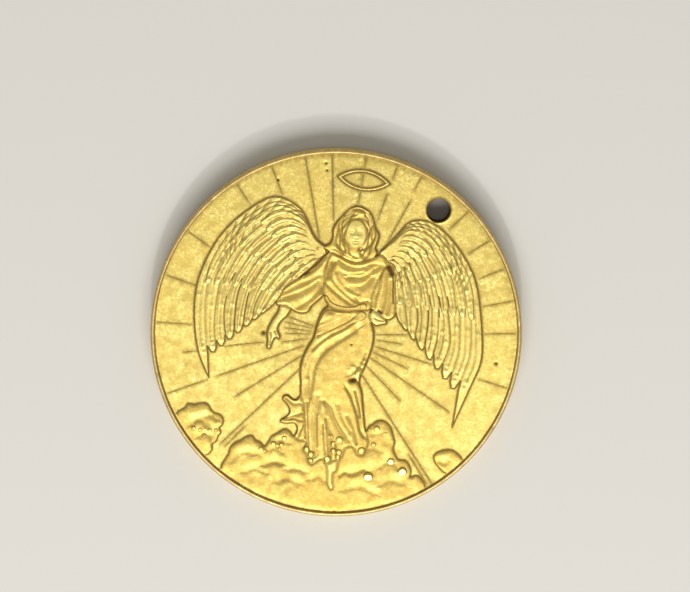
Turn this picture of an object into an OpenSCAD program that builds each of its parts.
// Struck challenge coin with an angel relief, a sunburst field and a drilled hanging hole.
// Millimetres. Origin at the centre of the coin where the reverse rim rests, +Z towards the
// obverse, +Y towards the halo.

/* [Coin] */
// Outer diameter of the coin
coin_d = 38.1; // [30:0.1:50]
// Thickness measured over both rims
coin_t = 3.0; // [2.4:0.1:4]
// Width of the obverse rim, from the edge to the foot of its inner slope
obverse_rim_w = 0.5; // [0.45:0.05:0.6]
// Width of the reverse rim, from the edge to the foot of its inner slope
reverse_rim_w = 1.2; // [0.9:0.1:1.6]
// Height of the obverse rim above the field
obverse_rim_h = 0.36; // [0.36:0.02:0.6]
// Height of the reverse rim above its field
reverse_rim_h = 0.4; // [0.2:0.02:0.6]
// Rounding of the outer edge, on both rims
edge_bevel = 0.25; // [0.1:0.05:0.3]

/* [Hole] */
// Diameter of the drilled hanging hole
hole_d = 2.4; // [1.5:0.1:2.4]
// Distance of the hole from the centre of the coin
hole_from_centre = 16.52; // [16.2:0.02:16.6]
// Direction of the hole, anticlockwise from +X
hole_angle = 59.25; // [58:0.25:62]

/* [Relief] */
// Height of the long feathers above the field
primary_h = 0.1; // [0.06:0.02:0.12]
// Height of each further feather layer above the one below
feather_step = 0.05; // [0.03:0.01:0.06]
// Height of the clouds above the field
cloud_h = 0.14; // [0.08:0.02:0.2]
// Height of the robe and the hair above the field
robe_h = 0.26; // [0.2:0.02:0.28]
// Height of what lies on the robe and the hair: face, wrap and sash
overlay_h = 0.07; // [0.04:0.01:0.08]
// Height of the hands and the foot above the field
limb_h = 0.2; // [0.12:0.02:0.24]
// Height of the halo ring above the field
halo_h = 0.1; // [0.06:0.02:0.16]
// Length of the halo, tip to tip
halo_l = 5.4; // [4.6:0.1:6]
// Height of the halo's lens shape
halo_w = 2.1; // [1.8:0.1:2.4]
// Width of the halo's line
halo_line = 0.24; // [0.16:0.02:0.3]
// Lean of the head, anticlockwise
face_tilt = 5; // [-10:1:15]
// Width of the face
face_w = 2.0; // [1.6:0.1:2.2]
// Length of the face
face_l = 2.8; // [2.4:0.1:3.0]
// Width of a ray ridge
ray_w = 0.16; // [0.1:0.02:0.24]
// Height of a ray ridge above the field
ray_h = 0.06; // [0.04:0.01:0.1]

/* [Reverse] */
// Number of rays in the reverse sunburst
reverse_rays = 36; // [12:6:48]
// Radius of the plain centre of the reverse
reverse_centre_r = 6; // [4:0.5:9]

/* [Hidden] */
$fn = 180;

design_d = 38.1;                  // the diameter that the outlines below are drawn for
k = coin_d / design_d;
coin_r = coin_d / 2;
field_r = coin_r - obverse_rim_w;
field_z = coin_t - obverse_rim_h;
crest_in = coin_r - 0.7 * obverse_rim_w;
crest_out = coin_r - edge_bevel;  // outer edge of both rims' flat crests
reverse_field_r = coin_r - reverse_rim_w;
rest_in = coin_r - 0.75 * reverse_rim_w;
reverse_ray_end = reverse_field_r - 0.4;
edge_r = 18.4;                    // radius where rays and clouds that reach the rim end
hole_x = k * hole_from_centre * cos(hole_angle);
hole_y = k * hole_from_centre * sin(hole_angle);
tall = 2 * coin_t;                // taller than anything that it cuts
brass = "#d9b548";
worn_brass = "#cbb07a";
deep_brass = "#c39a35";

// ---- curves ----

// Catmull-Rom point between b and c
function between(a, b, c, d, t) = 0.5 * (2 * b + (c - a) * t
    + (2 * a - 5 * b + 4 * c - d) * t * t + (3 * b - a - 3 * c + d) * t * t * t);

// Closed smooth line through the points p, with n steps between neighbours
function smooth(p, n = 3) = [for (i = [0 : len(p) - 1]) for (j = [0 : n - 1])
    between(p[(i + len(p) - 1) % len(p)], p[i], p[(i + 1) % len(p)], p[(i + 2) % len(p)], j / n)];

// Point at s along the open smooth line through the points p, where s = 0 is the first point
function along(p, s) =
    let (i = min(floor(s), len(p) - 2))
    between(p[max(i - 1, 0)], p[i], p[i + 1], p[min(i + 2, len(p) - 1)], s - i);

// Point on a wing: u = 0 is its leading edge and u = 1 the edge next to the arm
function on_wing(wing, u, s) = (1 - u) * along(wing[0], s) + u * along(wing[1], s);

// Outline of one layer of feathers: down the outer side, round each feather's tip, and back
function feathers(wing, layer) =
    let (n = layer[0], first = layer[1], end = layer[2], width = (1 - first) / n)
    concat(
        [for (s = [0 : 0.25 : end - 0.5]) on_wing(wing, first, s)],
        layer == primaries ? [for (s = [9 : 0.25 : 10]) on_wing(wing, 0, s)] : [],
        [for (i = [0 : n - 1]) each [
            if (i > 0 || layer != primaries) on_wing(wing, first + (i + 0.22) * width, end - 0.08),
            if (i > 0 || layer != primaries) on_wing(wing, first + (i + 0.55) * width, end),
            on_wing(wing, first + (i + 0.85) * width, end - 0.1),
            on_wing(wing, first + (i + 1) * width, end - notch)
        ]],
        [for (s = [end - 0.75 : -0.5 : 0]) on_wing(wing, 1, s)]
    );

// Points on a circle about the centre of the coin
function arc(r, from, to, n) = [for (i = [0 : n])
    let (a = from + (to - from) * i / n) [r * cos(a), r * sin(a)]];

// ---- outlines of the design, seen from the obverse ----

// Each wing lies between two guide lines from the shoulder to the tips: along its leading edge
// and along the edge next to the arm. Feather lines run between them.
left_leading = [
    [-2.5, 8.95], [-3.75, 9.85], [-5.5, 12.3], [-8.3, 13.15], [-11.0, 11.2], [-13.0, 8.7],
    [-14.2, 6.0], [-14.85, 3.0], [-14.65, -0.4], [-13.75, -3.8], [-12.3, -6.35]
];
left_inner = [
    [-2.2, 8.2], [-2.9, 7.5], [-3.4, 6.8], [-3.9, 6.2], [-4.4, 5.6], [-4.9, 5.0],
    [-5.4, 4.3], [-6.0, 3.4], [-6.6, 2.5], [-7.1, 1.8], [-7.5, 1.4]
];
right_leading = [
    [3.3, 9.3], [4.5, 10.9], [5.9, 12.7], [8.1, 12.8], [10.5, 11.2], [12.5, 8.9],
    [13.6, 6.8], [14.6, 3.2], [15.15, -0.4], [14.4, -3.6], [13.25, -7.8]
];
right_inner = [
    [2.9, 8.4], [4.2, 7.9], [4.7, 7.4], [5.0, 6.9], [5.15, 6.3], [5.25, 5.6],
    [5.4, 4.8], [5.55, 4.0], [5.7, 3.2], [6.1, 2.4], [6.9, 1.5]
];
// Feather layers: number of feathers, first one's distance in from the leading edge as a share of
// the wing's width, how far along the guide lines they end, and height of the layer's foot
primaries = [8, 0, 9.35, 0];
secondaries = [9, 0.06, 6.95, primary_h];
coverts = [9, 0.11, 5.15, primary_h + feather_step];
lesser_coverts = [8, 0.17, 3.9, primary_h + 2 * feather_step];
notch = 0.35;                     // how far the notch between two feathers cuts in
hair_outline = [
    [-1.4, 8.2], [-2.0, 8.4], [-2.5, 8.65], [-2.45, 8.95], [-2.0, 9.3], [-1.82, 10.0],
    [-1.92, 10.7], [-1.7, 11.4], [-1.2, 12.15], [-0.6, 12.95], [0.15, 13.42], [1.1, 13.25],
    [1.8, 12.7], [2.2, 11.9], [2.45, 11.35], [2.82, 10.9], [2.8, 10.1], [2.68, 9.45],
    [2.95, 8.95], [2.5, 8.2], [1.7, 7.6], [0.6, 7.4], [-0.5, 7.6]
];
bodice_outline = [
    [-1.75, 8.35], [-0.8, 8.1], [0.2, 7.8], [1.0, 7.75], [1.9, 8.1], [2.7, 8.5], [3.3, 8.9],
    [4.0, 8.3], [3.8, 7.3], [3.4, 6.3], [3.2, 5.2], [3.1, 4.2], [3.05, 3.2], [2.2, 2.95],
    [1.0, 2.7], [0.0, 2.6], [-1.15, 2.9], [-1.75, 3.8], [-2.05, 4.6], [-2.05, 5.5], [-1.95, 6.6],
    [-1.85, 7.6]
];
sleeve_left_outline = [
    [-1.3, 8.2], [-1.8, 8.45], [-2.4, 7.9], [-3.0, 7.0], [-3.6, 6.3], [-4.4, 5.5], [-5.2, 4.8],
    [-5.9, 4.1], [-6.2, 3.3], [-6.6, 2.5], [-6.3, 2.15], [-5.6, 2.3], [-5.0, 2.0], [-4.4, 1.75],
    [-3.8, 1.7], [-3.2, 1.95], [-2.9, 2.6], [-2.3, 3.3], [-1.6, 4.4], [-1.3, 6.2]
];
sleeve_right_outline = [
    [2.9, 8.2], [3.6, 8.7], [4.2, 8.15], [4.75, 7.7], [5.1, 7.0], [5.15, 6.2], [5.3, 5.3],
    [5.5, 4.4], [5.65, 3.6], [5.7, 2.95], [5.45, 2.55], [5.0, 2.3], [4.5, 2.5], [3.9, 2.9],
    [3.4, 3.1], [2.7, 3.5], [2.6, 5.4], [2.8, 7.0]
];
hand_left_outline = [
    [-5.6, 2.7], [-6.1, 2.4], [-6.25, 1.5], [-6.65, 0.7], [-6.95, -0.1], [-7.05, -0.9],
    [-6.9, -1.6], [-6.85, -2.3], [-6.5, -2.4], [-6.35, -1.7], [-6.1, -1.2], [-5.75, -1.3],
    [-5.7, -0.9], [-6.0, -0.4], [-5.95, 0.2], [-5.6, 0.8], [-5.2, 1.3], [-4.9, 2.4]
];
hand_right_outline = [
    [3.5, 3.3], [4.4, 3.0], [4.75, 2.4], [4.95, 1.95], [4.5, 1.75], [3.9, 1.55], [3.4, 1.8],
    [3.0, 2.4]
];
skirt_outline = [
    [-0.9, 3.3], [-1.3, 2.8], [-1.75, 2.25], [-2.0, 1.4], [-2.15, 0.5], [-2.3, -0.7],
    [-2.65, -1.5], [-2.95, -2.4], [-3.15, -3.4], [-3.12, -4.4], [-2.9, -5.4], [-2.75, -6.5],
    [-2.35, -7.5], [-2.1, -8.5], [-1.85, -9.6], [-1.55, -10.7], [-1.4, -11.6], [-1.6, -12.3],
    [-1.2, -12.8], [-0.95, -13.5], [-0.5, -13.75], [0.0, -13.3], [0.5, -13.0], [0.9, -13.45],
    [1.4, -13.2], [1.75, -12.95], [2.2, -13.0], [2.5, -12.2], [2.7, -11.5], [3.4, -11.3],
    [4.0, -12.0], [4.6, -12.0], [4.8, -11.4], [4.95, -10.6], [4.7, -9.9], [4.4, -9.2],
    [4.2, -8.4], [3.95, -7.4], [3.75, -6.5], [3.5, -5.5], [3.1, -4.6], [3.2, -3.7], [3.45, -2.8],
    [3.65, -1.9], [3.85, -0.9], [3.9, 0.1], [3.75, 1.0], [3.4, 1.8], [3.1, 2.5], [2.8, 3.3]
];
wrap_outline = [
    [-1.15, 2.5], [0.0, 2.4], [1.2, 2.5], [2.2, 2.8], [2.75, 2.6], [2.6, 2.0], [1.8, 1.6],
    [1.0, 1.1], [0.3, 0.7], [-0.6, 0.2], [-1.4, -0.4], [-2.0, -0.9], [-2.15, -0.4],
    [-2.0, 0.6], [-1.85, 1.4], [-1.6, 2.1]
];
sash_outline = [
    [-1.75, 3.65], [-1.5, 3.9], [-0.95, 3.3], [0.1, 3.05], [1.3, 3.15], [1.9, 3.5], [2.4, 3.62],
    [2.7, 3.45], [2.6, 3.1], [1.9, 2.98], [1.2, 2.8], [0.0, 2.7], [-1.05, 2.95]
];
robe_tail_outline = [
    [-2.4, -6.2], [-2.8, -6.9], [-3.1, -7.3], [-3.5, -7.25], [-4.0, -6.95], [-4.4, -7.1],
    [-4.45, -7.45], [-4.0, -7.85], [-3.65, -8.3], [-3.6, -8.8], [-3.9, -9.25], [-4.3, -9.55],
    [-4.3, -9.85], [-3.7, -9.9], [-2.95, -9.75], [-2.6, -10.1], [-2.55, -10.6], [-2.7, -11.1],
    [-2.3, -11.4], [-1.8, -11.4], [-1.1, -11.4], [-1.2, -9.6], [-1.7, -8.0]
];
foot_outline = [
    [0.9, -12.8], [1.5, -12.6], [2.05, -12.8], [2.1, -13.9], [1.8, -14.3], [1.85, -15.0],
    [2.0, -15.7], [1.85, -16.05], [1.5, -15.7], [1.25, -15.0], [1.15, -14.2]
];
clouds_left_outline = concat([
    [-14.3, -9.8], [-14.05, -9.35], [-13.3, -9.3], [-12.6, -9.05], [-12.0, -9.1], [-11.6, -9.6],
    [-11.2, -9.9], [-10.6, -10.0], [-10.2, -10.45], [-10.2, -11.0], [-10.45, -11.4],
    [-10.25, -11.8], [-10.45, -12.2], [-10.6, -12.8], [-10.95, -13.2], [-10.9, -13.8]
], arc(edge_r, 231.5, 215, 4));
clouds_bottom_outline = concat([
    [-9.2, -14.0], [-9.1, -13.3], [-8.7, -12.7], [-8.1, -12.3], [-7.6, -11.85], [-7.0, -11.7],
    [-6.6, -12.1], [-6.1, -12.25], [-5.6, -12.6], [-5.3, -12.1], [-5.05, -11.5], [-4.5, -11.05],
    [-3.8, -10.5], [-3.2, -10.7], [-2.7, -11.1], [-0.9, -11.0], [1.0, -11.2], [2.3, -11.8],
    [2.4, -14.6]
], arc(edge_r, 278, 238, 8));
clouds_right_outline = concat([
    [2.0, -14.6], [2.0, -11.6], [4.0, -10.4], [4.75, -9.0], [5.1, -8.7], [5.4, -8.35],
    [6.0, -8.15], [6.6, -8.35], [7.1, -8.9], [7.35, -9.5], [7.65, -10.2], [7.6, -10.9],
    [7.9, -11.5], [8.3, -11.95], [9.0, -11.95], [9.5, -12.4], [9.8, -13.1], [9.75, -13.6],
    [10.3, -13.35], [10.8, -13.5]
], arc(edge_r, 308.5, 278, 7));
clouds_far_right_outline = concat([
    [12.5, -12.15], [12.0, -11.6], [11.85, -11.0], [12.3, -10.5], [13.0, -10.2], [13.8, -10.2]
], arc(edge_r, 323.5, 316.5, 3));

// Ray ridges: direction, inner end, outer end. A ray that the halo crosses is in pieces.
ray_list = [
    [169.0, 15.2, edge_r], [184.5, 14.75, edge_r], [195.3, 14.3, 15.8], [208.0, 14.1, edge_r],
    [153.4, 15.7, edge_r], [131.6, 16.05, edge_r], [119.2, 15.5, edge_r], [108.2, 10.1, edge_r],
    [99.7, 11.8, edge_r], [88.9, 13.7, 14.9], [88.9, 15.5, 16.75], [88.9, 17.35, edge_r],
    [78.7, 12.5, 15.3], [78.7, 17.0, edge_r], [69.7, 10.9, 15.8], [70.3, 16.8, edge_r],
    [51.7, 15.8, edge_r], [40.2, 15.9, edge_r], [30.0, 15.8, edge_r], [19.3, 15.4, edge_r],
    [8.7, 15.3, edge_r], [350.8, 15.4, edge_r], [350.8, 4.2, 10.2], [342.5, 4.2, 8.2],
    [333.7, 4.2, 14.2], [322.0, 4.5, 9.6], [310.8, 4.6, edge_r], [309.3, 14.6, edge_r],
    [8.0, 4.2, 7.2], [0.0, 4.2, 6.8], [194.6, 7.5, 11.5], [208.0, 3.6, 12.9],
    [220.4, 4.1, 12.3], [232.2, 5.0, 16.6], [234.0, 13.4, 16.4], [168.0, 2.5, 5.2],
    [174.5, 2.6, 5.4], [181.0, 2.6, 5.3], [187.5, 2.7, 5.2], [197.0, 3.0, 5.6]
];

// ---- building blocks ----

module plate(outline, from, height, steps = 3) {
    translate([0, 0, field_z + from])
        linear_extrude(height)
            polygon(k * smooth(outline, steps));
}

// The footprint of an outline as a tall column, for cutting what it stands in front of
module column(outline, steps = 3) {
    plate(outline, -0.5 * tall, tall, steps);
}

// One layer of a wing's feathers, without what stands in front of it
module wing_layer(wing, layer, height, sleeve, hand) {
    color(brass)
        difference() {
            plate(feathers(wing, layer), layer[3], height, 1);
            column(hair_outline);
            column(bodice_outline);
            column(sleeve);
            column(hand);
            hole_clearance();
        }
}

module wing_left(layer, height) {
    wing_layer([left_leading, left_inner], layer, height, sleeve_left_outline, hand_left_outline);
}

module wing_right(layer, height) {
    wing_layer([right_leading, right_inner], layer, height, sleeve_right_outline,
        hand_right_outline);
}

// Space over the drilled hole, a little wider than the drill
module hole_clearance() {
    translate([hole_x, hole_y, -1])
        cylinder(d = hole_d + 0.2, h = tall);
}

// ---- sub-parts ----

module blank() {
    color(brass)
        difference() {
            translate([0, 0, reverse_rim_h])
                cylinder(r = coin_r, h = field_z - reverse_rim_h);
            translate([hole_x, hole_y, -1])
                cylinder(d = hole_d, h = tall);
        }
}

module obverse_rim() {
    color(worn_brass)
        rotate_extrude()
            polygon([
                [field_r, field_z], [coin_r, field_z], [coin_r, coin_t - edge_bevel],
                [crest_out, coin_t], [crest_in, coin_t]
            ]);
}

module reverse_rim() {
    color(worn_brass)
        rotate_extrude()
            polygon([
                [reverse_field_r, reverse_rim_h], [coin_r, reverse_rim_h], [coin_r, edge_bevel],
                [crest_out, 0], [rest_in, 0]
            ]);
}

module sun_rays() {
    color(brass)
        for (ray = ray_list)
            translate([0, 0, field_z])
                rotate([0, 0, ray[0]])
                    translate([k * ray[1], -ray_w / 2, 0])
                        cube([k * (ray[2] - ray[1]), ray_w, ray_h]);
}

// Flat lens between two equal arcs
module lens(half_length, half_height) {
    r = (pow(half_length, 2) + pow(half_height, 2)) / (2 * half_height);
    intersection_for(side = [-1, 1])
        translate([0, side * (r - half_height)])
            circle(r);
}

module halo() {
    color(brass)
        translate([0.45 * k, 16.15 * k, field_z])
            linear_extrude(halo_h)
                difference() {
                    lens(halo_l / 2, halo_w / 2);
                    lens(halo_l / 2 - 1.9 * halo_line, halo_w / 2 - halo_line);
                }
}

module wing_left_primaries() {
    wing_left(primaries, primary_h);
}

module wing_left_secondaries() {
    wing_left(secondaries, feather_step);
}

module wing_left_coverts() {
    wing_left(coverts, feather_step);
}

module wing_left_lesser_coverts() {
    wing_left(lesser_coverts, feather_step);
}

module wing_right_primaries() {
    wing_right(primaries, primary_h);
}

module wing_right_secondaries() {
    wing_right(secondaries, feather_step);
}

module wing_right_coverts() {
    wing_right(coverts, feather_step);
}

module wing_right_lesser_coverts() {
    wing_right(lesser_coverts, feather_step);
}

module hair() {
    color(deep_brass)
        difference() {
            plate(hair_outline, 0, robe_h);
            column(bodice_outline);
        }
}

module face() {
    oval = [for (a = [0 : 12 : 348]) [face_w / 2 * cos(a), face_l / 2 * sin(a)]];
    color(brass)
        translate([0.48 * k, 10.6 * k, 0])
            rotate([0, 0, face_tilt])
                plate(oval, robe_h, overlay_h, 1);
}

module bodice() {
    color(brass)
        plate(bodice_outline, 0, robe_h);
}

module sash() {
    color(deep_brass)
        plate(sash_outline, robe_h, overlay_h);
}

module sleeve_left() {
    color(brass)
        difference() {
            plate(sleeve_left_outline, 0, robe_h);
            column(bodice_outline);
            column(hair_outline);
        }
}

module sleeve_right() {
    color(brass)
        difference() {
            plate(sleeve_right_outline, 0, robe_h);
            column(bodice_outline);
            column(hair_outline);
        }
}

module hand_left() {
    color(brass)
        difference() {
            plate(hand_left_outline, 0, limb_h);
            column(sleeve_left_outline);
        }
}

module hand_right() {
    color(brass)
        difference() {
            plate(hand_right_outline, 0, limb_h);
            column(sleeve_right_outline);
            column(bodice_outline);
            column(skirt_outline);
        }
}

module skirt() {
    color(brass)
        difference() {
            plate(skirt_outline, 0, robe_h);
            column(bodice_outline);
            column(sleeve_right_outline);
        }
}

module hip_wrap() {
    color(deep_brass)
        plate(wrap_outline, robe_h, overlay_h);
}

module robe_tail() {
    color(brass)
        difference() {
            plate(robe_tail_outline, 0, limb_h);
            column(skirt_outline);
        }
}

module foot() {
    color(brass)
        difference() {
            plate(foot_outline, 0, limb_h);
            column(skirt_outline);
        }
}

module clouds_left() {
    color(brass)
        plate(clouds_left_outline, 0, cloud_h);
}

module clouds_bottom() {
    color(brass)
        difference() {
            plate(clouds_bottom_outline, 0, cloud_h);
            column(skirt_outline);
            column(robe_tail_outline);
            column(foot_outline);
        }
}

module clouds_right() {
    color(brass) {
        difference() {
            plate(clouds_right_outline, 0, cloud_h);
            column(clouds_bottom_outline);
            column(skirt_outline);
        }
        plate(clouds_far_right_outline, 0, cloud_h);
    }
}

module reverse_sunburst() {
    color(brass)
        difference() {
            for (i = [0 : reverse_rays - 1])
                rotate([0, 0, 360 * i / reverse_rays])
                    translate([k * reverse_centre_r, -ray_w / 2, reverse_rim_h - ray_h])
                        cube([reverse_ray_end - k * reverse_centre_r, ray_w, ray_h]);
            hole_clearance();
        }
}

blank();
obverse_rim();
reverse_rim();
sun_rays();
halo();
wing_left_primaries();
wing_left_secondaries();
wing_left_coverts();
wing_left_lesser_coverts();
wing_right_primaries();
wing_right_secondaries();
wing_right_coverts();
wing_right_lesser_coverts();
hair();
face();
bodice();
sash();
sleeve_left();
sleeve_right();
hand_left();
hand_right();
skirt();
hip_wrap();
robe_tail();
foot();
clouds_left();
clouds_bottom();
clouds_right();
reverse_sunburst();
